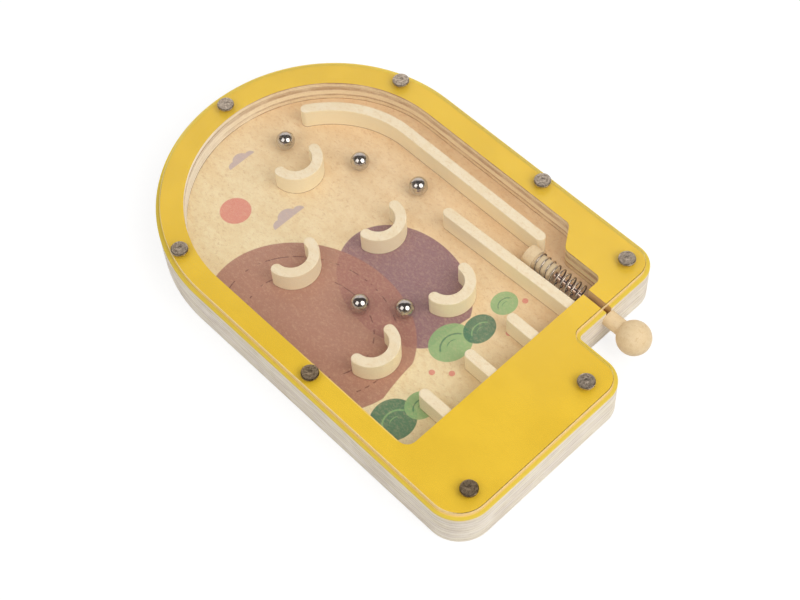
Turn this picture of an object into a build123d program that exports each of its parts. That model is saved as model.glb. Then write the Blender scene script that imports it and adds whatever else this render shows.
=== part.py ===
from build123d import *
import math
import os

# All sizes are millimetres. Plan positions are measured from the centre of the arch, with x to the
# right and distances "down" towards the player, and the whole game is moved to its own middle at the end.

# Boards
body_width = 190.0
base_thickness = 11.0
frame_thickness = 14.0
shoulder_down = 164.0  # arch centre to the edge that the knob rests against
tongue_length = 36.0  # of the wide bottom part beside the knob, past the shoulder
notch_width = 65.5  # from the tongue to the right side
heel_radius = 20.0
tongue_radius = 15.0
shoulder_radius = 15.0
notch_radius = 2.5
board_edge_round = 0.6

# Window in the frame
rim_width = 15.5
shoulder_wall = 16.5  # wood between the window and the shoulder, which the rod passes
window_heel_radius = 6.0
bay_corner_radius = 4.0
jog_radius = 5.0
jog_top_up = 36.5  # from the bottom of the window up to where the right wall steps inwards
jog_bottom_up = 26.8

# Clear cover and the rivets that hold it
cover_thickness = 3.0
cover_inset = 2.5
cover_edge_chamfer = 0.3
rivet_head_diameter = 9.8
rivet_head_height = 1.3
rivet_dimple_diameter = 3.0
rivet_dimple_depth = 0.3
rivet_shank_diameter = 3.0
rivet_bite = 10.0  # length of shank in the wood
rivet_hole_clearance = 0.2
rivet_wood_clearance = 0.02
arch_rivets = ((89.5, 9.2), (17.4, 7.2), (162.0, 7.6))  # angle in degrees, distance in from the edge
right_rivet = (6.4, 81.9)  # distance in from the side, distance down
left_rivet = (9.5, 81.4)
shoulder_rivet = (12.7, 13.9)  # distance in from the side, distance up from the edge below
tongue_rivet = (18.4, 13.9)
heel_rivet = (20.6, 13.6)

# Wooden guides glued to the playfield
guide_width = 6.3
guide_gap = 1.0  # under the cover
guide_edge_round = 0.5
channel_width = 13.35  # between the curved rail and the right wall
rail_start_angle = 58.0
rail_end_up = 39.9  # from the bottom of the window
lane_wall_top_down = 54.6
lane_wall_top_left = 13.8  # from the plunger axis to the lane wall's centre line, at its top
lane_wall_foot_left = 10.9
divider_length = 20.1
divider_places = (29.1, 62.4, 93.9)  # from the left wall of the window
cup_radius = 12.3  # centre line
cup_span = 169.0
upper_cups = ((5.2, -30.8, -3.5), (9.4, 32.9, 6.6), (-40.4, 16.3, 1.0))  # right, down, tilt in degrees
lower_cups = ((6.9, 58.1, 4.7), (-48.5, 59.0, 1.9))  # right, up from the bottom of the window, tilt

# Steel balls
ball_diameter = 11.0
ball_gap = 0.3  # under each ball
upper_balls = ((12.8, -49.0), (32.6, -7.4), (43.6, 29.1))  # right, down
lower_balls = ((-33.4, 84.6), (-18.7, 65.1))  # right, up from the bottom of the window

# Plunger
head_floor_gap = 0.8
head_side_gap = 0.65  # beside the curved rail
head_length = 6.8
head_edge_round = 0.7
boss_length = 12.7
boss_end_chamfer = 0.8
rod_diameter = 4.0
rod_slot_clearance = 0.08
rod_glue_clearance = 0.02
rod_in_boss = 11.0
rod_in_knob = 14.0
neck_diameter = 9.4
knob_diameter = 19.3
knob_centre_out = 18.2  # from the shoulder to the centre of the ball knob
bay_side_room = 12.3  # from the plunger axis to the bay's right wall
spring_length = 35.2
spring_wire = 0.8
spring_inset = 0.1
spring_turns = 9
spring_boss_clearance = 0.3
spring_lead_angle = 40.0  # of turn, over which the straight end bends into the coil

# Worked out from the sizes above
half_width = body_width / 2
foot_down = shoulder_down + tongue_length
body_length = half_width + foot_down
tongue_right = half_width - notch_width
frame_top = base_thickness + frame_thickness
window_radius = half_width - rim_width
window_down = shoulder_down - shoulder_wall
divider_round_y = divider_length - guide_width / 2 - window_down
guide_height = frame_thickness - guide_gap
rail_radius = window_radius - channel_width - guide_width / 2
head_diameter = frame_thickness - 2 * head_floor_gap
plunger_x = rail_radius - guide_width / 2 - head_side_gap - head_diameter / 2
plunger_z = base_thickness + frame_thickness / 2
head_back_down = window_down - spring_length
slot_width = rod_diameter + 2 * rod_slot_clearance
bay_right = plunger_x + bay_side_room
spring_radius = head_diameter / 2 - spring_inset - spring_wire / 2
boss_diameter = 2 * (spring_radius - spring_wire / 2 - spring_boss_clearance)


def rounded(sketch, x, y, radius):
    """Rounds the corner of a sketch that lies nearest to x, y."""
    corner = sketch.vertices().sort_by_distance(Vector(x, y, 0))[0]
    return fillet(corner, radius)


def slab(left, right, top, bottom):
    """A rectangle between two x values and two distances down from the arch centre."""
    return Pos((left + right) / 2, -(top + bottom) / 2) * Rectangle(right - left, bottom - top)


def board_outline(inset=0.0):
    """Arch, straight sides and the offset tongue, drawn inwards by the inset."""
    side = half_width - inset
    foot = foot_down - inset
    shoulder = shoulder_down - inset
    right = tongue_right - inset
    sketch = Circle(side) + slab(-side, side, 0, shoulder) + slab(-side, right, shoulder, foot)
    sketch = rounded(sketch, -side, -foot, heel_radius - inset)
    sketch = rounded(sketch, right, -foot, tongue_radius - inset)
    sketch = rounded(sketch, side, -shoulder, shoulder_radius - inset)
    return rounded(sketch, right, -shoulder, notch_radius + inset)


def window_outline():
    """Arched window whose right wall steps inwards beside the plunger."""
    jog_top = window_down - jog_top_up
    jog_bottom = window_down - jog_bottom_up
    walls = Polyline(
        (-window_radius, 0),
        (-window_radius, -window_down),
        (bay_right, -window_down),
        (bay_right, -jog_bottom),
        (window_radius, -jog_top),
        (window_radius, 0),
        close=True,
    )
    sketch = make_face(walls) + Circle(window_radius)
    sketch = rounded(sketch, -window_radius, -window_down, window_heel_radius)
    sketch = rounded(sketch, bay_right, -window_down, bay_corner_radius)
    sketch = rounded(sketch, bay_right, -jog_bottom, jog_radius)
    return rounded(sketch, window_radius, -jog_top, jog_radius)


def rivet_places():
    """Three round the arch, one at each side, and three near the lower corners."""
    places = []
    for angle, inwards in arch_rivets:
        radius = half_width - inwards
        places.append((radius * math.cos(math.radians(angle)), radius * math.sin(math.radians(angle))))
    places.append((half_width - right_rivet[0], -right_rivet[1]))
    places.append((left_rivet[0] - half_width, -left_rivet[1]))
    places.append((half_width - shoulder_rivet[0], shoulder_rivet[1] - shoulder_down))
    places.append((tongue_right - tongue_rivet[0], tongue_rivet[1] - foot_down))
    places.append((heel_rivet[0] - half_width, heel_rivet[1] - foot_down))
    return places


def edges_at_height(part, z):
    return part.edges().filter_by_position(Axis.Z, z - 0.01, z + 0.01)


def base_board():
    board = extrude(board_outline(), base_thickness)
    return fillet(edges_at_height(board, 0), board_edge_round)


def rod_slot():
    """A groove, open at the top and round at the bottom, through the wall behind the plunger."""
    length = 3 * shoulder_wall
    middle_y = -(window_down + shoulder_down) / 2
    above = Pos(plunger_x, middle_y, frame_top) * Box(slot_width, length, 2 * (frame_top - plunger_z))
    rounding = Pos(plunger_x, middle_y, plunger_z) * Rot(90, 0, 0) * Cylinder(slot_width / 2, length)
    return above + rounding


def frame_ring():
    ring = extrude(board_outline() - window_outline(), frame_thickness)
    ring = Pos(0, 0, base_thickness) * ring
    outer_top = [edge for edge in edges_at_height(ring, frame_top) if on_board_edge(edge)]
    ring = fillet(outer_top, board_edge_round) - rod_slot()
    hole_radius = rivet_shank_diameter / 2 + rivet_wood_clearance
    hole = Cylinder(hole_radius, rivet_bite, align=(Align.CENTER, Align.CENTER, Align.MAX))
    return ring - [Pos(x, y, frame_top) * hole for x, y in rivet_places()]


def on_board_edge(edge):
    """True for an edge of the outer outline, which lies outside the middle of the rim."""
    middle = edge @ 0.5
    outside_arch = math.hypot(middle.X, max(middle.Y, 0)) > window_radius + rim_width / 2
    return outside_arch or middle.Y < -(window_down + shoulder_wall / 2)


def cover_sheet():
    sheet = Pos(0, 0, frame_top) * extrude(board_outline(cover_inset), cover_thickness)
    sheet = chamfer(edges_at_height(sheet, frame_top + cover_thickness), cover_edge_chamfer)
    hole = Cylinder(rivet_shank_diameter / 2 + rivet_hole_clearance, 3 * cover_thickness)
    return sheet - [Pos(x, y, frame_top) * hole for x, y in rivet_places()]


def rivet():
    """Flat domed head with a shallow dimple, and a shank with a blunt point, standing on z = 0."""
    radius = rivet_head_diameter / 2
    head = Cylinder(radius, rivet_head_height, align=(Align.CENTER, Align.CENTER, Align.MIN))
    head = fillet(edges_at_height(head, rivet_head_height), rivet_head_height * 0.6)
    dimple_radius = (rivet_dimple_diameter**2 / 4 + rivet_dimple_depth**2) / (2 * rivet_dimple_depth)
    head -= Pos(0, 0, rivet_head_height + dimple_radius - rivet_dimple_depth) * Sphere(dimple_radius)
    shank_length = cover_thickness + rivet_bite
    shank = Cylinder(rivet_shank_diameter / 2, shank_length, align=(Align.CENTER, Align.CENTER, Align.MAX))
    shank = chamfer(edges_at_height(shank, -shank_length), rivet_shank_diameter / 4)
    return head + shank


def cover_rivets():
    top = frame_top + cover_thickness
    return Compound([Pos(x, y, top) * rivet() for x, y in rivet_places()])


def arc_bar(radius, start, span):
    """A bar of the guides' width bent round the origin, with round ends."""
    half = guide_width / 2
    end = start + span
    first = (radius * math.cos(math.radians(start)), radius * math.sin(math.radians(start)))
    last = (radius * math.cos(math.radians(end)), radius * math.sin(math.radians(end)))
    return make_face(
        [
            CenterArc((0, 0), radius + half, start, span),
            CenterArc(last, half, end, 180),
            CenterArc((0, 0), radius - half, start, span),
            CenterArc(first, half, start + 180, 180),
        ]
    )


def straight_bar(top, foot):
    """A bar with a round upper end, from its top centre to its foot, both given as (x, y)."""
    run = Vector(*foot) - Vector(*top)
    angle = math.degrees(math.atan2(run.Y, run.X))
    bar = Pos(*top) * Rot(0, 0, angle) * Pos(run.length / 2, 0) * Rectangle(run.length, guide_width)
    return bar + Pos(*top) * Circle(guide_width / 2)


def guide(sketch):
    """A guide of full height on the playfield, with its upper edges eased."""
    part = Pos(0, 0, base_thickness) * extrude(sketch, guide_height)
    return fillet(edges_at_height(part, base_thickness + guide_height), guide_edge_round)


def launch_rail():
    half = guide_width / 2
    foot = window_down - rail_end_up - half
    sketch = arc_bar(rail_radius, 0, rail_start_angle)
    sketch += slab(rail_radius - half, rail_radius + half, 0, foot)
    return guide(sketch + Pos(rail_radius, -foot) * Circle(half))


def reaching_wall(top, foot):
    """A straight bar run on past its foot and cut flush with the bottom wall of the window."""
    beyond = Vector(*foot) + (Vector(*foot) - Vector(*top)).normalized() * guide_width
    bar = straight_bar(top, (beyond.X, beyond.Y))
    return guide(bar & slab(-half_width, half_width, 0, window_down))


def lane_wall():
    top = (plunger_x - lane_wall_top_left, -(lane_wall_top_down + guide_width / 2))
    foot = (plunger_x - lane_wall_foot_left, -window_down)
    return reaching_wall(top, foot)


def divider(place):
    x = place - window_radius
    return reaching_wall((x, divider_round_y), (x, -window_down))


def cup(right, down, tilt):
    start = 270 - cup_span / 2
    sketch = Pos(right, -down) * Rot(0, 0, tilt) * arc_bar(cup_radius, start, cup_span)
    return guide(sketch)


def ball(right, down):
    return Pos(right, -down, base_thickness + ball_gap + ball_diameter / 2) * Sphere(ball_diameter / 2)


# The plunger's pieces are made along a line that runs down the board, so that a distance along it
# is the same distance down from the arch centre.
plunger_line = Pos(plunger_x, 0, plunger_z) * Rot(90, 0, 0)


def turned(diameter, start, end):
    """A round bar on the plunger's line between two distances down."""
    return Pos(0, 0, (start + end) / 2) * Cylinder(diameter / 2, end - start)


def plunger_head():
    front = head_back_down - head_length
    boss_end = head_back_down + boss_length
    head = turned(head_diameter, front, head_back_down)
    head = fillet(edges_at_height(head, front), head_edge_round)
    boss = turned(boss_diameter, head_back_down, boss_end)
    boss = chamfer(edges_at_height(boss, boss_end), boss_end_chamfer)
    bore = turned(rod_diameter + 2 * rod_glue_clearance, boss_end - rod_in_boss, boss_end + 1)
    return plunger_line * (head + boss - bore)


def plunger_rod():
    start = head_back_down + boss_length - rod_in_boss
    end = shoulder_down + rod_in_knob
    return plunger_line * turned(rod_diameter, start, end)


def plunger_knob():
    centre = shoulder_down + knob_centre_out
    neck = turned(neck_diameter, shoulder_down, centre)
    bore = turned(rod_diameter + 2 * rod_glue_clearance, shoulder_down - 1, shoulder_down + rod_in_knob)
    return plunger_line * (neck + Pos(0, 0, centre) * Sphere(knob_diameter / 2) - bore)


def coil_point(turn, start, pitch):
    """Point and direction on the coil after a number of turns, as a pair of vectors."""
    angle = 2 * math.pi * turn
    point = Vector(spring_radius * math.cos(angle), spring_radius * math.sin(angle), start + pitch * turn)
    around = 2 * math.pi * spring_radius
    heading = Vector(-around * math.sin(angle), around * math.cos(angle), pitch)
    return point, heading.normalized()


def biarc(first, first_heading, last, last_heading):
    """Two arcs that leave the first point and reach the last one along the given headings."""
    chord = last - first
    bend = 1 - first_heading.dot(last_heading)
    along = chord.dot(first_heading + last_heading)
    reach = (math.sqrt(along**2 + 2 * bend * chord.dot(chord)) - along) / (2 * bend)
    before = first + first_heading * reach
    after = last - last_heading * reach
    joint = (before + after) * 0.5
    heading = (after - before).normalized()
    return [
        Edge.make_tangent_arc(first, first_heading, joint),
        Edge.make_tangent_arc(joint, heading, last),
    ]


def spring_path():
    """A coil between the plunger's head and the wall, whose wire ends stand square on both."""
    lead_turn = spring_lead_angle / 360
    first_face = Vector(*plan(0), head_back_down)
    last_face = Vector(*plan(spring_turns), window_down)
    up = Vector(0, 0, 1)
    first_bend = first_face + up * spring_wire
    last_bend = last_face - up * spring_wire
    pitch = (window_down - head_back_down - 2 * spring_wire) / spring_turns
    stops = [(first_bend, up)]
    turn = lead_turn
    steps = math.ceil(4 * (spring_turns - 2 * lead_turn))
    step = (spring_turns - 2 * lead_turn) / steps
    stops += [coil_point(turn + step * i, first_bend.Z, pitch) for i in range(steps + 1)]
    stops.append((last_bend, up))
    edges = [Edge.make_line(first_face, first_bend)]
    for (here, heading), (there, next_heading) in zip(stops, stops[1:]):
        edges += biarc(here, heading, there, next_heading)
    edges.append(Edge.make_line(last_bend, last_face))
    return Wire(edges)


def plan(turn):
    """Place of the wire round the plunger's line after a number of turns."""
    angle = 2 * math.pi * turn
    return spring_radius * math.cos(angle), spring_radius * math.sin(angle)


def least_gap(path, wire):
    """Smallest clear space between one stretch of the wire and any stretch half a turn away or more."""
    count = 60 * spring_turns
    points = [path @ (i / count) for i in range(count + 1)]
    far = 30
    pairs = ((i, j) for i in range(count + 1) for j in range(i + far, min(i + 3 * far, count + 1)))
    return min((points[i] - points[j]).length for i, j in pairs) - wire


def plunger_spring():
    path = spring_path()
    section = Plane(path @ 0, z_dir=path % 0) * Circle(spring_wire / 2)
    spring = sweep(section, path)
    swept = math.pi * spring_wire**2 / 4 * path.length
    print(f"spring: least gap to itself {least_gap(path, spring_wire):.2f} mm")
    print(f"spring: volume {spring.volume / swept:.4f} of section times length")
    return plunger_line * spring


def build():
    parts = {
        "base_board": base_board(),
        "frame_ring": frame_ring(),
        "cover_sheet": cover_sheet(),
        "cover_rivets": cover_rivets(),
        "launch_rail": launch_rail(),
        "lane_wall": lane_wall(),
        "plunger_head": plunger_head(),
        "plunger_rod": plunger_rod(),
        "plunger_knob": plunger_knob(),
        "plunger_spring": plunger_spring(),
    }
    for number, place in enumerate(divider_places, 1):
        parts[f"divider_{number}"] = divider(place)
    cups = [cup(*place) for place in upper_cups]
    cups += [cup(right, window_down - up, tilt) for right, up, tilt in lower_cups]
    for number, solid in enumerate(cups, 1):
        parts[f"cup_{number}"] = solid
    balls = [ball(*place) for place in upper_balls]
    balls += [ball(right, window_down - up) for right, up in lower_balls]
    for number, solid in enumerate(balls, 1):
        parts[f"ball_{number}"] = solid
    return parts


# The game's own origin is under the middle of its length.
to_middle = Pos(0, body_length / 2 - half_width, 0)
os.makedirs("parts", exist_ok=True)
for name, shape in build().items():
    export_step(to_middle * shape, f"parts/{name}.step")
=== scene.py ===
"""The tabletop pinball game's looks, studio and camera, round the parts of its CAD model."""

import math

import bpy
from mathutils import Matrix, Vector


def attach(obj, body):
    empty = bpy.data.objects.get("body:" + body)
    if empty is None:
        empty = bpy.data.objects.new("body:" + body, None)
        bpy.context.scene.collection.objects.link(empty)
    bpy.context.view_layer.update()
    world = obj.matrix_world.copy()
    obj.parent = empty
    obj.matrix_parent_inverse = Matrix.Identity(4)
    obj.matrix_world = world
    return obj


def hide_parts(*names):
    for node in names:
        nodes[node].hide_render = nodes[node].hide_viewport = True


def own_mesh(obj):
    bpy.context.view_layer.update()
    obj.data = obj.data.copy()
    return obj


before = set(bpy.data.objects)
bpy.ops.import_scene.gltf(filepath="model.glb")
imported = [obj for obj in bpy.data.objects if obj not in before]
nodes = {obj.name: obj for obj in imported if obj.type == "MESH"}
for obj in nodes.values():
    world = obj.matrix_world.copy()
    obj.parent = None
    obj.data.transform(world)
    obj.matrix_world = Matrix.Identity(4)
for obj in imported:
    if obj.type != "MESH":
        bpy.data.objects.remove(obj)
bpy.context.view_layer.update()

# Sizes of the game in millimetres, which the materials follow
BOARD_TOP = 11.0
FRAME_TOP = 25.0
COVER_TOP = 28.0
ARCH_CENTRE_Y = 52.5
SHOULDER_Y = -111.5
FOOT_Y = -147.5
HALF_WIDTH = 95.0
TONGUE_RIGHT = 29.5
HEEL_RADIUS = 20.0
CORNER_RADIUS = 15.0
NOTCH_RADIUS = 2.5
WINDOW_LEFT = -79.5
WINDOW_FOOT_Y = -95.0
COVER_INSET = 2.5
PLUNGER_X = 53.0
PLUNGER_Z = 18.0

# Level direction towards the far side of the arch, as the photo shows it
FAR_WAY = (0.65, 0.76)


def tone(red, green, blue):
    """A screen colour in 8-bit steps, as the linear colour that a shader takes."""

    def linear(step):
        value = step / 255
        return value / 12.92 if value <= 0.04045 else ((value + 0.055) / 1.055) ** 2.4

    return (linear(red), linear(green), linear(blue), 1.0)


class Graph:
    """A node tree. Each call adds a node and returns its output socket."""

    def __init__(self, owner):
        owner.use_nodes = True
        self.tree = owner.node_tree
        self.tree.nodes.clear()

    def add(self, kind, **settings):
        node = self.tree.nodes.new(kind)
        for key, value in settings.items():
            setattr(node, key, value)
        return node

    def put(self, socket, value):
        if isinstance(value, bpy.types.NodeSocket):
            self.tree.links.new(value, socket)
        else:
            socket.default_value = value

    def split(self, vector):
        node = self.add("ShaderNodeSeparateXYZ")
        self.put(node.inputs[0], vector)
        return node.outputs

    def vector(self, operation, first, second=(0, 0, 0), scale=1.0):
        node = self.add("ShaderNodeVectorMath", operation=operation)
        self.put(node.inputs[0], first)
        if operation == "SCALE":
            self.put(node.inputs["Scale"], scale)
        else:
            self.put(node.inputs[1], second)
        return node.outputs["Value" if operation in ("LENGTH", "DOT_PRODUCT") else "Vector"]

    def math(self, operation, *values, clamp=False):
        node = self.add("ShaderNodeMath", operation=operation, use_clamp=clamp)
        for socket, value in zip(node.inputs, values):
            self.put(socket, value)
        return node.outputs[0]

    def times(self, first, *others):
        for other in others:
            first = self.math("MULTIPLY", first, other)
        return first

    def plus(self, first, second, clamp=False):
        return self.math("ADD", first, second, clamp=clamp)

    def minus(self, first, second):
        return self.math("SUBTRACT", first, second)

    def hypot(self, first, second):
        """Length of a line that reaches first one way and second square to it."""
        squares = self.math("MULTIPLY_ADD", first, first, self.times(second, second))
        return self.math("SQRT", squares)

    def step(self, value, low, high):
        """0 below low and 1 above high, or the other way round where low is the larger."""
        node = self.add("ShaderNodeMapRange", interpolation_type="SMOOTHSTEP")
        ends = (low, high, 0.0, 1.0) if low < high else (high, low, 1.0, 0.0)
        for socket, number in zip(node.inputs, (value,) + ends):
            self.put(socket, number)
        return node.outputs[0]

    def between(self, value, low, high, soft):
        """1 from low to high, with soft ends."""
        begun = self.step(value, low - soft, low + soft)
        return self.times(begun, self.step(value, high + soft, high - soft))

    def scaled(self, value, low, high):
        """Carries 0 to 1 over to low to high."""
        node = self.add("ShaderNodeMapRange")
        for socket, number in zip(node.inputs, (value, 0.0, 1.0, low, high)):
            self.put(socket, number)
        return node.outputs[0]

    def mix(self, share, first, second, blend_type="MIX"):
        node = self.add("ShaderNodeMix", data_type="RGBA", blend_type=blend_type)
        self.put(node.inputs[0], share)
        self.put(node.inputs[6], first)
        self.put(node.inputs[7], second)
        return node.outputs[2]

    def noise(self, scale, stretch=(1, 1, 1), detail=3.0, rough=0.55, warp=0.0, offset=(0, 0, 0)):
        node = self.add("ShaderNodeTexNoise")
        place = self.vector("ADD", self.vector("MULTIPLY", self.place, stretch), offset)
        self.put(node.inputs["Vector"], place)
        self.put(node.inputs["Scale"], scale)
        self.put(node.inputs["Detail"], detail)
        self.put(node.inputs["Roughness"], rough)
        self.put(node.inputs["Distortion"], warp)
        return node.outputs[0]

    def cells(self, scale):
        """Distance to the nearest of many scattered points."""
        node = self.add("ShaderNodeTexVoronoi")
        self.put(node.inputs["Vector"], self.place)
        self.put(node.inputs["Scale"], scale)
        return node.outputs["Distance"]

    def ramp(self, value, stops, interpolation="LINEAR"):
        node = self.add("ShaderNodeValToRGB")
        ramp = node.color_ramp
        ramp.interpolation = interpolation
        while len(ramp.elements) < len(stops):
            ramp.elements.new(1.0)
        for element, (position, colour) in zip(ramp.elements, stops):
            element.position = position
            element.color = colour
        self.put(node.inputs[0], value)
        return node.outputs[0]

    def bump(self, height, depth, normal=None):
        """Depth is in metres."""
        node = self.add("ShaderNodeBump")
        self.put(node.inputs["Distance"], depth)
        self.put(node.inputs["Height"], height)
        if normal is not None:
            self.put(node.inputs["Normal"], normal)
        return node.outputs[0]

    def principled(self, colour, roughness, normal=None, **others):
        node = self.add("ShaderNodeBsdfPrincipled")
        self.put(node.inputs["Base Color"], colour)
        self.put(node.inputs["Roughness"], roughness)
        if normal is not None:
            self.put(node.inputs["Normal"], normal)
        for name, value in others.items():
            self.put(node.inputs[name.replace("_", " ")], value)
        return node.outputs[0]

    def shader_mix(self, share, first, second):
        node = self.add("ShaderNodeMixShader")
        self.put(node.inputs[0], share)
        self.put(node.inputs[1], first)
        self.put(node.inputs[2], second)
        return node.outputs[0]


class Look(Graph):
    """A material, with its place in millimetres of the game's own frame."""

    def __init__(self, name):
        self.material = bpy.data.materials.new(name)
        super().__init__(self.material)
        place = self.add("ShaderNodeTexCoord").outputs["Object"]
        self.place = self.vector("SCALE", place, scale=1000.0)
        self.x, self.y, self.z = self.split(self.place)
        self.flat = self.add("ShaderNodeNewGeometry").outputs["True Normal"]
        self.up = self.split(self.flat)[2]

    def leaned_normal(self, lean):
        """The surface's normal, leaned towards straight up where the face looks mostly up."""
        upright = self.add("ShaderNodeCombineXYZ")
        self.put(upright.inputs[2], self.times(self.step(self.up, 0.6, 0.85), lean))
        normal = self.add("ShaderNodeNewGeometry").outputs["Normal"]
        return self.vector("NORMALIZE", self.vector("ADD", normal, upright.outputs[0]))

    def finish(self, shader):
        self.put(self.add("ShaderNodeOutputMaterial").inputs["Surface"], shader)
        return self.material


def wood_face(look, pale, mid, fleck, seed):
    """Colour and height of a fine veneer along y: soft clouds, short pores and small flecks."""
    figure = look.noise(0.11, (1, 0.3, 1), 3.0, 0.6, 0.4, (seed, seed * 2.0, 0))
    pores = look.noise(0.7, (1, 0.55, 1), 4.0, 0.75, 0.6, (0, seed, seed))
    mottle = look.noise(0.3, (1, 0.7, 1), 5.0, 0.8, 0.0, (seed, 0, seed))
    colour = look.mix(look.times(look.step(figure, 0.38, 0.68), 0.6), pale, mid)
    colour = look.mix(look.times(look.step(mottle, 0.42, 0.66), 0.7), colour, mid)
    colour = look.mix(look.times(look.step(pores, 0.5, 0.7), 0.6), colour, fleck)
    height = look.plus(look.times(mottle, 0.4), look.times(pores, 0.6))
    return colour, height


# A plywood edge from the underside up: the top of each layer in millimetres, and how dark it is
PLY_LAYERS = (
    (1.3, 0.12),
    (2.3, 0.38),
    (2.9, 0.85),
    (4.3, 0.22),
    (5.6, 0.45),
    (6.9, 0.15),
    (7.4, 0.8),
    (8.6, 0.3),
    (9.8, 0.1),
    (10.75, 0.42),
    (11.15, 1.0),
    (12.4, 0.15),
    (13.7, 0.5),
    (15.0, 0.2),
    (15.5, 0.8),
    (16.9, 0.3),
    (18.0, 0.08),
    (18.6, 0.7),
    (19.9, 0.35),
    (20.5, 0.12),
    (21.0, 0.75),
    (22.4, 0.42),
    (23.6, 0.15),
    (25.0, 0.5),
)

# The same for the right wall inside the frame, from the playfield up
RIGHT_WALL_LAYERS = (
    (11.55, 1.0),
    (13.9, 0.22),
    (15.1, 0.75),
    (15.5, 0.3),
    (18.6, 0.05),
    (19.2, 0.55),
    (20.7, 0.78),
    (22.0, 0.6),
    (24.2, 0.25),
    (25.0, 0.9),
)

# The same for the left wall, where thinner dark layers show between paler ones
LEFT_WALL_LAYERS = (
    (11.6, 1.0),
    (13.0, 0.05),
    (13.4, 0.45),
    (17.0, 0.12),
    (17.3, 0.3),
    (19.9, 0.08),
    (20.4, 0.5),
    (21.2, 0.2),
    (22.0, 0.95),
    (22.8, 0.35),
    (25.0, 0.0),
)


def plies(look, layers, waver, least, streaky):
    """How dark a plywood edge is. Its layers waver, in millimetres, and fade to the least share."""
    lifted = look.scaled(look.noise(0.045, (1, 1, 0.6), 3.0, 0.6), -waver, waver)
    z = look.plus(look.z, lifted)
    starts = (0.0,) + tuple(top for top, _ in layers[:-1])
    shades = [shade for _, shade in layers]
    stops = [(start / FRAME_TOP, (grey, grey, grey, 1)) for start, grey in zip(starts, shades)]
    shade = look.ramp(look.math("DIVIDE", z, FRAME_TOP), stops, "CONSTANT")
    faded = look.step(look.noise(0.06, (1, 1, 2.5), 3.0, 0.6), 0.3, 0.62)
    streaks = look.noise(0.13, (1, 1, 12), 5.0, 0.72, 0.05)
    ends = look.noise(1.6, (1, 1, 0.35), 3.0, 0.65)
    shade = look.times(shade, look.scaled(faded, least, 1.0))
    shade = look.plus(shade, look.scaled(streaks, -streaky, streaky))
    return look.plus(shade, look.scaled(ends, -0.5 * streaky, 0.5 * streaky), clamp=True)


def outer_edge(look):
    """Colour and height of the pale outer sides: faint layers under cool and warm streaks."""
    shade = plies(look, PLY_LAYERS, waver=0.5, least=0.4, streaky=0.45)
    blotches = look.step(look.noise(0.05, (1, 1, 6), 4.0, 0.65, 0.2), 0.4, 0.62)
    shade = look.plus(look.times(shade, 0.85), look.times(blotches, 0.22), clamp=True)
    tint = look.step(look.noise(0.06, (1, 1, 5), 4.0, 0.65, 0.3), 0.35, 0.65)
    pale = look.mix(tint, tone(255, 247, 230), tone(252, 243, 231))
    dark = look.mix(tint, tone(206, 188, 156), tone(198, 181, 163))
    warmed = look.times(look.step(look.z, FRAME_TOP - 2.4, FRAME_TOP - 0.4), 0.6)
    return look.mix(warmed, look.mix(shade, pale, dark), tone(252, 226, 164)), shade


def ellipse(look, x, y, wide, high, turn=0.0):
    """1 on the rim of an ellipse on the playfield, less inside it and more outside."""
    node = look.add("ShaderNodeMapping", vector_type="TEXTURE")
    look.put(node.inputs["Vector"], look.place)
    node.inputs["Location"].default_value = (x, y, 0)
    node.inputs["Rotation"].default_value = (0, 0, math.radians(turn))
    node.inputs["Scale"].default_value = (wide, high, 1)
    flat = look.vector("MULTIPLY", node.outputs[0], (1, 1, 0))
    return look.vector("LENGTH", flat)


def inked(look, colour, mask, ink, share=0.9):
    return look.mix(look.times(mask, share), colour, ink)


# The puffs of a cloud in millimetres: aside, above and radius
CLOUD_PUFFS = ((-8, 0, 5), (0, 1, 7.5), (8.5, 0, 4.5))


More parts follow.
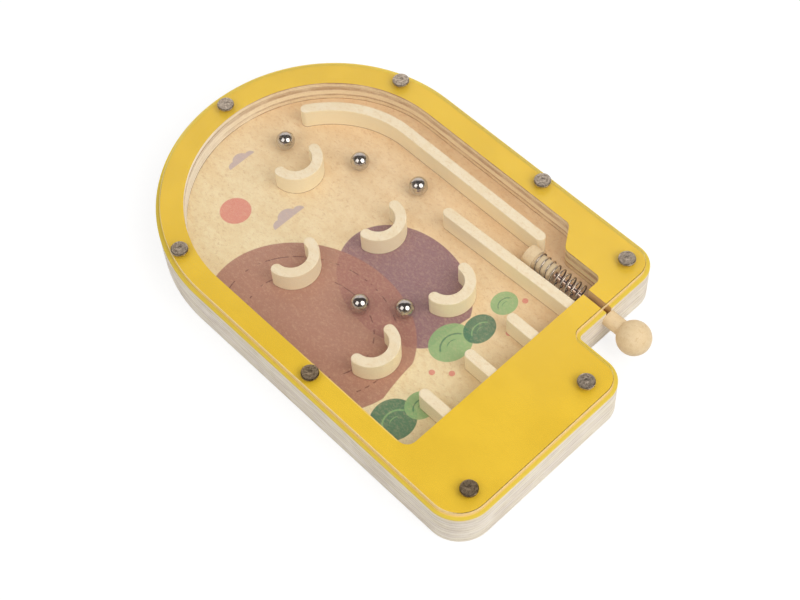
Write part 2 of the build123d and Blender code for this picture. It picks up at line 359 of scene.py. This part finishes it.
def landscape(look, colour):
    """A plain printed landscape of rounded hills, bushes, a low sun and two clouds."""
    brown = tone(174, 119, 103)
    brown_dark = tone(112, 68, 60)
    mauve = tone(138, 94, 108)
    leaf = tone(146, 184, 125)
    leaf_dark = tone(72, 122, 92)
    pink = tone(224, 132, 120)
    cloud = tone(196, 176, 178)
    ground = look.step(ellipse(look, -22, -152, 132, 98), 0.994, 1.0)
    back_hill = ellipse(look, -6, -16, 33, 44, -8)
    on_back_hill = look.times(look.step(back_hill, 1.008, 0.992), ground)
    colour = inked(look, colour, on_back_hill, mauve)
    front_hill = ellipse(look, -60, 2, 50, 62, 10)
    on_hill = look.times(look.step(front_hill, 1.006, 0.994), ground)
    colour = inked(look, colour, on_hill, brown)
    broken = look.step(look.noise(0.16, (1, 1, 0), 1.0), 0.5, 0.53)
    for inner in (0.82, 0.6):
        ring = look.times(look.between(front_hill, inner, inner + 0.012, 0.004), on_hill)
        colour = inked(look, colour, look.times(ring, broken), brown_dark, 0.75)
    for x, y, wide, high, turn, ink, line in (
        (-14, -60, 13, 11, 0, leaf, leaf_dark),
        (3, -65, 10, 8, 5, leaf_dark, leaf),
        (24, -63, 8, 7, 0, leaf, leaf_dark),
        (-68, -72, 13, 12, 0, leaf_dark, leaf),
        (-52, -76, 9, 8, 0, leaf, leaf_dark),
    ):
        bush = ellipse(look, x, y, wide, high, turn)
        colour = inked(look, colour, look.step(bush, 1.02, 0.98), ink, 0.92)
        for inner in (0.35, 0.66):
            ring = ellipse(look, x, y - 0.3 * high, wide * inner, high * inner)
            ring = look.between(ring, 0.94, 1.06, 0.03)
            arc = look.times(ring, look.step(look.y, y - 1.0, y + 0.5))
            colour = inked(look, colour, arc, line, 0.8)
    colour = inked(look, colour, look.step(ellipse(look, -38, 88, 9, 9), 1.03, 0.97), pink, 0.85)
    for x, y, size in ((-20, 62, 0.85), (-12, 112, 0.7)):
        puffs = [
            ellipse(look, x + aside * size, y + above * size, radius * size, radius * size)
            for aside, above, radius in CLOUD_PUFFS
        ]
        nearest = look.math("MINIMUM", look.math("MINIMUM", puffs[0], puffs[1]), puffs[2])
        shape = look.times(look.step(nearest, 1.04, 0.96), look.step(look.y, y - 0.2, y + 0.2))
        colour = inked(look, colour, shape, cloud, 0.85)
    for x, y in ((-34, -66), (12, -78), (-27, -74), (33, -70)):
        colour = inked(look, colour, look.step(ellipse(look, x, y, 1.7, 1.7), 1.1, 0.9), pink, 0.85)
    return colour


def playfield_birch():
    """The lower board: printed veneer on top, plywood layers round its edge."""
    look = Look("playfield_birch")
    pale, mid, fleck = tone(246, 225, 183), tone(236, 207, 159), tone(217, 180, 132)
    face, height = wood_face(look, pale, mid, fleck, seed=3.0)
    # Painted light and shade: the field a little lighter on the left and in a warm shade towards
    # the right lane
    painted_shade_rightwards = look.mix(look.step(look.x, -70.0, 75.0), (1.0, 1.05, 1.06, 1), (0.975, 0.89, 0.85, 1))
    face = look.mix(1.0, face, painted_shade_rightwards, "MULTIPLY")
    # Painted shade: the field a little darker towards the front
    face = look.mix(look.step(look.y, -20.0, -90.0), face, (0.96, 0.95, 0.94, 1), "MULTIPLY")
    printed = landscape(look, face)
    weave = look.step(look.noise(0.85, (1, 0.6, 1), 4.0, 0.8, 0.5), 0.46, 0.66)
    printed = look.mix(look.times(weave, 0.2), printed, tone(240, 208, 168))
    specks = look.step(look.cells(0.55), 0.055, 0.03)
    printed = look.mix(look.times(specks, 0.25), printed, tone(168, 128, 86))
    top = look.times(look.step(look.up, 0.5, 0.9), look.step(look.z, 10.8, 10.95))
    edge, edge_height = outer_edge(look)
    side = look.step(look.math("ABSOLUTE", look.up), 0.9, 0.5)
    colour = look.mix(side, face, edge)
    colour = look.mix(top, colour, printed)
    relief = look.mix(side, height, edge_height)
    roughness = look.scaled(look.noise(0.8), 0.5, 0.66)
    shader = look.principled(colour, roughness, look.bump(relief, 0.00006), Specular_IOR_Level=0.35)
    return look.finish(shader)


def inset(look, out):
    """How far inside the frame's outline a place is, from its distance out of the arch's centre."""

    def corner(from_side, from_foot, radius):
        across = look.math("MAXIMUM", look.minus(radius, from_side), 0.0)
        below = look.math("MAXIMUM", look.minus(radius, from_foot), 0.0)
        return look.minus(radius, look.hypot(across, below))

    above_foot = look.minus(look.y, FOOT_Y)
    above_shoulder = look.minus(look.y, SHOULDER_Y)
    right_corner = corner(look.minus(HALF_WIDTH, look.x), above_shoulder, CORNER_RADIUS)
    body = look.math("MINIMUM", look.minus(HALF_WIDTH, out), right_corner)
    heel = corner(look.plus(look.x, HALF_WIDTH), above_foot, HEEL_RADIUS)
    toe = corner(look.minus(TONGUE_RIGHT, look.x), above_foot, CORNER_RADIUS)
    below_arch = look.minus(ARCH_CENTRE_Y, look.y)
    tongue = look.math("MINIMUM", look.math("MINIMUM", heel, toe), below_arch)
    across = look.minus(TONGUE_RIGHT + NOTCH_RADIUS, look.x)
    above = look.plus(above_shoulder, NOTCH_RADIUS)
    notch = look.minus(look.hypot(across, above), NOTCH_RADIUS)
    by_notch = look.times(look.between(across, 0.0, 9.0, 0.5), look.between(above, 0.0, 9.0, 0.5))
    return look.math("MAXIMUM", look.math("MAXIMUM", body, tongue), look.times(notch, by_notch))


def inner_wall(look):
    """Colour and height of the inner walls: pale on the left, golden by the plunger from painted
    warm bounce light.
    """
    to_right = look.step(look.x, -40.0, 40.0)
    left = plies(look, LEFT_WALL_LAYERS, waver=0.3, least=0.6, streaky=0.4)
    right = plies(look, RIGHT_WALL_LAYERS, waver=0.45, least=0.5, streaky=0.62)
    shade = look.mix(to_right, left, right)
    # The golden pale and dark tones on the right are painted warm bounce light from the yellow
    # paint
    pale = look.mix(to_right, tone(255, 250, 238), tone(255, 239, 204))
    dark = look.mix(to_right, tone(158, 128, 92), tone(184, 141, 96))
    # Painted yellow bounce light on the wall in the bay
    painted_yellow_bounce_in_bay = look.times(look.step(look.x, 40.0, 55.0), look.step(look.y, -56.0, -66.0))
    return look.mix(painted_yellow_bounce_in_bay, look.mix(shade, pale, dark), (1.1, 1.03, 0.78, 1), "MULTIPLY"), shade


def slot_wall(look, colour):
    """Warms the colour in the slot that the plunger's rod runs in, as painted warm bounce light
    between the rod and the walls.
    """
    off_rod = look.math("ABSOLUTE", look.minus(look.x, PLUNGER_X))
    slot = look.times(
        look.step(off_rod, 2.6, 2.4),
        look.step(look.y, WINDOW_FOOT_Y - 0.2, WINDOW_FOOT_Y - 1.0),
        look.step(look.y, SHOULDER_Y + 0.2, SHOULDER_Y + 0.5),
    )
    return look.mix(slot, colour, tone(240, 203, 134))


def yellow_paint(look, reach_y, depth):
    """Colour and grain of the paint, its strip outside the cover with painted light and shade, a
    painted glow by the cover's foot, and its cut edge on the left.
    """
    drift = look.noise(0.03, (1, 1, 1), 2.0)
    paint = look.mix(look.step(drift, 0.35, 0.65), tone(243, 203, 54), tone(237, 197, 50))
    grain = look.noise(1.1, (1, 0.12, 1), 3.0, 0.6)
    paint = look.mix(look.times(look.step(grain, 0.45, 0.75), 0.25), paint, tone(229, 187, 44))
    # Painted light and shade on the strip outside the cover: darker near the player, where the
    # cover's edge shades it, and lighter on the far side
    away = look.math("MULTIPLY_ADD", look.x, FAR_WAY[0], look.times(reach_y, FAR_WAY[1]))
    far = look.times(look.step(away, 0.0, 45.0), look.step(look.y, 45.0, 85.0))
    strip = look.mix(far, tone(226, 199, 72), tone(254, 226, 80))
    paint = look.mix(look.step(depth, COVER_INSET + 0.1, COVER_INSET - 0.1), paint, strip)
    # Painted light: a peach glow on the strip along the foot of the cover's edge, towards the
    # player's left
    below_shoulder = look.step(look.y, SHOULDER_Y + 1.0, SHOULDER_Y - 1.0)
    beside_knob = look.times(look.step(look.x, 18.0, 26.0), below_shoulder)
    near = look.step(look.plus(look.x, look.y), 20.0, -90.0)
    near = look.times(near, look.minus(1.0, beside_knob))
    glow = look.times(look.between(depth, COVER_INSET - 0.6, COVER_INSET, 0.15), near)
    paint = look.mix(look.times(glow, 0.75), paint, tone(240, 206, 136))
    cut = look.times(
        look.step(look.x, WINDOW_LEFT + 0.5, WINDOW_LEFT + 0.2),
        look.step(look.x, WINDOW_LEFT - 0.8, WINDOW_LEFT - 0.5),
        look.step(look.y, 0.0, -30.0),
        look.step(look.y, WINDOW_FOOT_Y + 5.0, WINDOW_FOOT_Y + 8.0),
    )
    return look.mix(look.times(cut, 0.5), paint, tone(255, 222, 150)), grain


def yellow_ply():
    """The frame: yellow paint on its upper face, bare plywood layers on its walls."""
    look = Look("yellow_ply")
    reach_y = look.math("MAXIMUM", look.minus(look.y, ARCH_CENTRE_Y), 0.0)
    out = look.hypot(look.x, reach_y)
    above_slot = look.step(look.y, SHOULDER_Y + 3.0, SHOULDER_Y + 4.0)
    inner = look.times(look.step(out, 87.0, 85.0), above_slot)
    outside, outer_height = outer_edge(look)
    inside, inner_height = inner_wall(look)
    bare = slot_wall(look, look.mix(inner, outside, inside))
    height = look.mix(inner, outer_height, inner_height)
    paint, grain = yellow_paint(look, reach_y, inset(look, out))
    edge_line = look.plus(look.z, look.scaled(look.noise(0.3), -0.12, 0.12))
    upward = look.step(look.up, 0.1, 0.3)
    painted = look.times(look.step(edge_line, FRAME_TOP - 0.62, FRAME_TOP - 0.5), upward)
    colour = look.mix(painted, bare, paint)
    peel = look.noise(3.0, (1, 1, 1), 2.0)
    relief = look.mix(painted, height, look.times(look.plus(peel, grain), 0.06))
    wood_roughness = look.scaled(look.noise(0.8), 0.55, 0.7)
    roughness = look.mix(painted, wood_roughness, look.scaled(peel, 0.34, 0.46))
    shader = look.principled(colour, roughness, look.bump(relief, 0.00006), Specular_IOR_Level=0.4)
    return look.finish(shader)


def guide_wood():
    """Pale solid wood of the guides, with painted light on the side faces and a thin dark line
    along the foot, partly glue and partly painted contact shadow.
    """
    look = Look("guide_maple")
    pale, mid, fleck = tone(248, 233, 203), tone(242, 222, 184), tone(230, 203, 158)
    colour, height = wood_face(look, pale, mid, fleck, seed=11.0)
    # Painted light: the side faces made lighter, broken by streaks
    side = look.step(look.up, 0.8, 0.4)
    painted_side_light_streaks = look.noise(0.9, (0.2, 0.2, 3.0))
    colour = look.mix(look.times(side, look.scaled(painted_side_light_streaks, 0.6, 1.0)), colour, tone(255, 242, 204))
    # A thin dark line along the foot, partly a glue line and partly painted contact shadow
    foot = look.plus(look.z, look.scaled(look.noise(0.7), -0.12, 0.12))
    glue_and_shadow_line = look.times(look.step(foot, BOARD_TOP + 0.5, BOARD_TOP + 0.3), 0.85)
    colour = look.mix(glue_and_shadow_line, colour, tone(150, 108, 66))
    roughness = look.scaled(look.noise(1.2), 0.5, 0.68)
    shader = look.principled(colour, roughness, look.bump(height, 0.00005), Specular_IOR_Level=0.35)
    return look.finish(shader)


def turned_wood():
    """Pale turned wood with its grain along the plunger and fine tool rings round it."""
    look = Look("turned_beech")
    pale, mid, fleck = tone(236, 212, 172), tone(226, 199, 154), tone(210, 176, 128)
    colour, height = wood_face(look, pale, mid, fleck, seed=23.0)
    rings = look.noise(2.2, (0.02, 1, 0.02))
    colour = look.mix(look.times(look.step(rings, 0.5, 0.7), 0.25), colour, tone(222, 188, 140))
    relief = look.plus(height, look.times(rings, 0.5))
    roughness = look.scaled(look.noise(0.9), 0.42, 0.58)
    shader = look.principled(colour, roughness, look.bump(relief, 0.00005), Specular_IOR_Level=0.4)
    return look.finish(shader)


def clear_cover():
    """Clear acrylic: see-through faces that mirror a little, and cut edges whose warm tone is
    painted light from the yellow paint and wood.
    """
    look = Look("clear_acrylic")
    hazy = look.noise(0.06)
    scuffs = look.noise(1.4, (1, 0.08, 1), 4.0, 0.7, 0.6)
    scuffed = look.times(look.step(scuffs, 0.66, 0.8), 0.06)
    roughness = look.plus(look.scaled(hazy, 0.015, 0.05), scuffed)
    clear = look.add("ShaderNodeBsdfTransparent")
    clear.inputs["Color"].default_value = (1, 1, 1, 1)
    mirror = look.add("ShaderNodeBsdfGlossy")
    mirror.inputs["Color"].default_value = (1, 1, 1, 1)
    look.put(mirror.inputs["Roughness"], roughness)
    look.put(mirror.inputs["Normal"], look.flat)
    weight = look.add("ShaderNodeLayerWeight")
    look.put(weight.inputs["Normal"], look.flat)
    grazing = look.math("POWER", weight.outputs["Facing"], 5.0)
    mirrored = look.math("MULTIPLY_ADD", grazing, 0.975, 0.025)
    face = look.shader_mix(mirrored, clear.outputs[0], mirror.outputs[0])
    # Painted light: the warm tone of the cut edges stands for light they pick up from the yellow
    # paint and wood
    saw = look.noise(3.0, (1, 1, 0.3))
    warm = look.mix(saw, tone(255, 236, 196), tone(250, 214, 160))
    # Painted reflection on the top bevel: dark on faces towards the player and the right, pale
    # peach on the others
    across, along, _ = look.split(look.flat)
    painted_dark_reflection = look.math("MAXIMUM", look.step(along, -0.3, -0.55), look.step(across, 0.58, 0.69))
    bevel = look.mix(painted_dark_reflection, tone(250, 226, 172), tone(146, 116, 48))
    warm = look.mix(look.step(look.z, COVER_TOP - 0.38, COVER_TOP - 0.24), warm, bevel)
    rim = look.principled(warm, 0.22, Specular_IOR_Level=0.5)
    inward = look.add("ShaderNodeNewGeometry").outputs["Backfacing"]
    rim = look.shader_mix(look.scaled(inward, 0.9, 0.08), clear.outputs[0], rim)
    side = look.step(look.math("ABSOLUTE", look.up), 0.95, 0.9)
    return look.finish(look.shader_mix(side, face, rim))


def metal(
    name, pale, dark, smooth, rough, grain, depth, stretch=(1, 1, 1), worn_flat=0.0, wear_and_painted_light=None
):
    """Bare metal with a fine worn grain. Depth is in metres, worn_flat for faces that look up."""
    look = Look(name)
    worn = look.noise(grain, stretch, 4.0, 0.65, 0.3)
    cloudy = look.noise(0.35)
    colour = look.mix(look.step(worn, 0.35, 0.7), pale, dark)
    if wear_and_painted_light:
        colour = wear_and_painted_light(look, colour)
    share = look.plus(look.times(worn, 0.6), look.times(cloudy, 0.4))
    roughness = look.scaled(share, smooth, rough)
    normal = look.bump(worn, depth, look.leaned_normal(worn_flat))
    return look.finish(look.principled(colour, roughness, normal, Metallic=1.0))


def rubbed_wire_with_painted_highlight(look, colour):
    """Brown spring wire that is bright on the outside of its coils, partly rubbed wear and partly a
    painted highlight.
    """
    off_axis = look.hypot(look.minus(look.x, PLUNGER_X), look.minus(look.z, PLUNGER_Z))
    return look.mix(look.step(off_axis, 5.86, 6.04), tone(112, 88, 66), colour)


def painted_shade_head(look, colour):
    """A rivet's head with painted shade: darker on its rim, and browner and darker towards the
    player's left.
    """
    near = look.step(look.math("MULTIPLY_ADD", look.y, 0.4, look.x), -30.0, -95.0)
    colour = look.mix(near, colour, (0.78, 0.7, 0.57, 1), "MULTIPLY")
    rim = look.times(look.step(look.up, 0.97, 0.75), look.scaled(near, 0.45, 0.85))
    return look.mix(rim, colour, look.mix(near, tone(112, 98, 82), tone(84, 68, 52)))


def dress(material, names):
    for name in names:
        for slot in nodes[name].material_slots:
            slot.material = material


def clear_of_paint(sheet):
    """Lifts what is drawn of the cover a hair off the paint, so that no two faces share a plane."""
    lift = sheet.modifiers.new("hair_gap", "DISPLACE")
    lift.direction = "Z"
    lift.mid_level = 0.0
    lift.strength = 0.00004  # metres


def lead(start, start_way, end, end_way):
    """Points on a smooth bend that leaves start and reaches end along the given ways."""
    reach = (end - start).length
    steps = 10
    points = []
    for i in range(1, steps):
        t = i / steps
        h = (2 * t**3 - 3 * t**2 + 1, t**3 - 2 * t**2 + t, -2 * t**3 + 3 * t**2, t**3 - t**2)
        points.append(start * h[0] + start_way * reach * h[1] + end * h[2] + end_way * reach * h[3])
    return points


def spring_points():
    """The wire's middle line in metres, from the plunger's head to the window's lower wall."""
    turns, radius, wire = 9, 0.0057, 0.0008
    front, back = -0.0598, WINDOW_FOOT_Y / 1000
    axis_x, axis_z = PLUNGER_X / 1000, PLUNGER_Z / 1000
    pitch = (front - back - 2 * wire) / turns
    lead_turn = 40 / 360
    steps_per_turn = 48

    def coil(turn):
        angle = 2 * math.pi * turn
        y = front - wire - pitch * turn
        return Vector((axis_x + radius * math.cos(angle), y, axis_z + radius * math.sin(angle)))

    def way(turn):
        angle = 2 * math.pi * turn
        around = 2 * math.pi * radius
        return Vector((-around * math.sin(angle), -pitch, around * math.cos(angle))).normalized()

    back_way = Vector((0, -1, 0))
    first = Vector((axis_x + radius, front, axis_z))
    last = Vector((axis_x + radius, back, axis_z))
    first_bend = first + back_way * wire
    last_bend = last - back_way * wire
    end_turn = turns - lead_turn
    points = [first, first_bend] + lead(first_bend, back_way, coil(lead_turn), way(lead_turn))
    steps = steps_per_turn * (turns - 1)
    points += [coil(lead_turn + (end_turn - lead_turn) * i / steps) for i in range(steps + 1)]
    points += lead(coil(end_turn), way(end_turn), last_bend, back_way) + [last_bend, last]
    return points


def tube(name, points, radius, sides):
    """A round wire along the points, closed at both ends."""
    verts, faces = [], []
    normal = Vector((0, 0, 1))
    for i, point in enumerate(points):
        way = (points[min(i + 1, len(points) - 1)] - points[max(i - 1, 0)]).normalized()
        normal = (normal - way * normal.dot(way)).normalized()
        other = way.cross(normal)
        for k in range(sides):
            angle = 2 * math.pi * k / sides
            verts.append(point + (normal * math.cos(angle) + other * math.sin(angle)) * radius)
    for i in range(len(points) - 1):
        for k in range(sides):
            a, b = i * sides + k, i * sides + (k + 1) % sides
            faces.append((a, b, b + sides, a + sides))
    faces.append(tuple(reversed(range(sides))))
    faces.append(tuple(range((len(points) - 1) * sides, len(points) * sides)))
    mesh = bpy.data.meshes.new(name)
    mesh.from_pydata(verts, [], faces)
    for polygon in mesh.polygons:
        polygon.use_smooth = len(polygon.vertices) == 4
    mesh.validate()
    piece = bpy.data.objects.new(name, mesh)
    bpy.context.scene.collection.objects.link(piece)
    return piece


def wound_spring():
    """The plunger's spring, wound anew with evenly spaced coils."""
    wire_radius = 0.00045
    spring = tube("wound_spring", spring_points(), wire_radius, 12)
    steel = metal(
        "dark_spring_wire", tone(238, 226, 210), tone(190, 174, 154),
        smooth=0.05, rough=0.12, grain=1.5, depth=0.00001, wear_and_painted_light=rubbed_wire_with_painted_highlight,
    )
    spring.data.materials.append(steel)
    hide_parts("plunger_spring")
    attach(spring, "board")
    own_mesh(spring)


def directly_seen(look):
    """1 for what the camera sees straight, in a mirror or through glass."""
    path = look.add("ShaderNodeLightPath")
    either = look.math("MAXIMUM", path.outputs["Is Camera Ray"], path.outputs["Is Glossy Ray"])
    return look.math("MAXIMUM", either, path.outputs["Is Transmission Ray"])


def studio_floor():
    """A white floor that keeps the game's soft shadow."""
    size, z = 4.0, -0.0002
    corners = [(-size, -size, z), (size, -size, z), (size, size, z), (-size, size, z)]
    mesh = bpy.data.meshes.new("floor")
    mesh.from_pydata(corners, [], [(0, 1, 2, 3)])
    floor = bpy.data.objects.new("floor", mesh)
    bpy.context.scene.collection.objects.link(floor)
    look = Look("floor_white")
    matt = look.add("ShaderNodeBsdfDiffuse")
    paper = look.noise(0.02)
    look.put(matt.inputs["Color"], look.mix(paper, (0.64, 0.64, 0.64, 1), (0.68, 0.68, 0.68, 1)))
    faint = look.add("ShaderNodeBsdfDiffuse")
    faint.inputs["Color"].default_value = (0.3, 0.3, 0.3, 1)
    glow = look.add("ShaderNodeEmission")
    glow.inputs["Strength"].default_value = 0.76
    seen = look.add("ShaderNodeAddShader")
    look.put(seen.inputs[0], faint.outputs[0])
    look.put(seen.inputs[1], glow.outputs[0])
    shader = look.shader_mix(directly_seen(look), matt.outputs[0], seen.outputs[0])
    mesh.materials.append(look.finish(shader))


def studio_world():
    """White to the camera, and an even pale light. Metal mirrors a pale backdrop in a dark room."""
    world = bpy.data.worlds.new("studio")
    bpy.context.scene.world = world
    sky = Graph(world)

    def background(colour, strength=1.0):
        node = sky.add("ShaderNodeBackground")
        sky.put(node.inputs["Color"], colour)
        sky.put(node.inputs["Strength"], strength)
        return node.outputs[0]

    dark_room = (0.045, 0.04, 0.038, 1)
    way = sky.add("ShaderNodeTexCoord").outputs["Generated"]
    height = sky.split(way)[2]
    ahead = sky.vector("DOT_PRODUCT", way, (FAR_WAY[0], FAR_WAY[1], 0))
    aside = sky.minus(sky.vector("DOT_PRODUCT", way, (FAR_WAY[1], -FAR_WAY[0], 0)), 0.08)
    behind = sky.step(ahead, 0.02, 0.1)
    gable = sky.math("MULTIPLY_ADD", sky.math("ABSOLUTE", aside), 0.7, height)
    paper = sky.ramp(
        sky.math("DIVIDE", gable, sky.times(ahead, 2.5)),
        (
            (0.0, (0.98, 0.95, 0.94, 1)),
            (0.3, (0.92, 0.88, 0.88, 1)),
            (0.62, (0.8, 0.76, 0.75, 1)),
            (0.74, dark_room),
        ),
    )
    room = sky.ramp(
        height,
        ((0.0, (0.75, 0.72, 0.7, 1)), (0.17, (0.6, 0.57, 0.55, 1)), (0.27, dark_room)),
    )
    mirrored = background(sky.mix(behind, room, paper))
    white = background((1, 1, 1, 1))
    light = background((1, 0.985, 0.965, 1), 0.47)
    path = sky.add("ShaderNodeLightPath")
    shader = sky.shader_mix(path.outputs["Is Glossy Ray"], light, mirrored)
    shader = sky.shader_mix(path.outputs["Is Transmission Ray"], shader, white)
    shader = sky.shader_mix(path.outputs["Is Camera Ray"], shader, white)
    sky.put(sky.add("ShaderNodeOutputWorld").inputs["Surface"], shader)


def softbox(name, way, colour, distance, wide, high, power, shape="RECTANGLE", mirrored=True):
    """An area lamp that hangs in the given direction from the game and faces it."""
    data = bpy.data.lights.new(name, "AREA")
    data.shape = shape
    data.size = wide
    data.size_y = high
    data.energy = power
    data.color = colour
    lamp = bpy.data.objects.new(name, data)
    lamp.location = Vector(way).normalized() * distance
    lamp.rotation_euler = Vector(way).to_track_quat("Z", "Y").to_euler()
    lamp.visible_camera = False
    lamp.visible_glossy = mirrored
    bpy.context.scene.collection.objects.link(lamp)


def studio_camera():
    """The camera that was fitted to the outline in the photo."""
    data = bpy.data.cameras.new("camera")
    data.sensor_width = 36.0
    data.lens = 75.51
    camera = bpy.data.objects.new("camera", data)
    right = Vector((0.719441, -0.693492, -0.038383))
    up = Vector((0.598452, 0.590902, 0.541008))
    back = Vector((-0.352504, -0.412194, 0.840141))
    turned = Matrix((right, up, back)).transposed().to_4x4()
    camera.matrix_world = Matrix.Translation((-0.33550, -0.39694, 0.77662)) @ turned
    bpy.context.scene.collection.objects.link(camera)
    bpy.context.scene.camera = camera


guides = ["launch_rail", "lane_wall"]
guides += [f"divider_{i}" for i in range(1, 4)] + [f"cup_{i}" for i in range(1, 6)]
dress(playfield_birch(), ["base_board"])
dress(yellow_ply(), ["frame_ring"])
dress(clear_cover(), ["cover_sheet"])
dress(guide_wood(), guides)
dress(turned_wood(), ["plunger_head", "plunger_knob"])
dress(
    metal(
        "rivet_steel", tone(240, 226, 206), tone(162, 146, 128),
        smooth=0.2, rough=0.36, grain=1.0, depth=0.0001, worn_flat=2.0, wear_and_painted_light=painted_shade_head,
    ),
    ["cover_rivets"],
)
# The rod's warm tint is painted reflection of the wood round it
dress(
    metal(
        "rod_steel", tone(226, 198, 180), tone(188, 158, 140),
        smooth=0.06, rough=0.14, grain=1.2, depth=0.00001, stretch=(1, 0.1, 1),
    ),
    ["plunger_rod"],
)
dress(
    metal(
        "ball_steel", tone(208, 203, 198), tone(190, 184, 178),
        smooth=0.02, rough=0.06, grain=1.1, depth=0.000004,
    ),
    [f"ball_{i}" for i in range(1, 6)],
)
wound_spring()
clear_of_paint(nodes["cover_sheet"])
studio_floor()
studio_world()
softbox(
    "front_box", (0.11, -0.68, 0.73), (1, 0.985, 0.96),
    distance=1.3, wide=1.04, high=1.16, power=8.9, shape="ELLIPSE",
)
softbox(
    "left_box", (-0.64, 0.05, 0.767), (1, 0.985, 0.97),
    distance=1.3, wide=0.78, high=0.84, power=3.3,
)
softbox(
    "right_fill", (0.8, 0.35, 0.6), (1, 0.98, 0.95),
    distance=1.4, wide=1.0, high=1.0, power=2.6, mirrored=False,
)
studio_camera()
bpy.context.scene.view_settings.view_transform = "Standard"

bpy.context.view_layer.update()
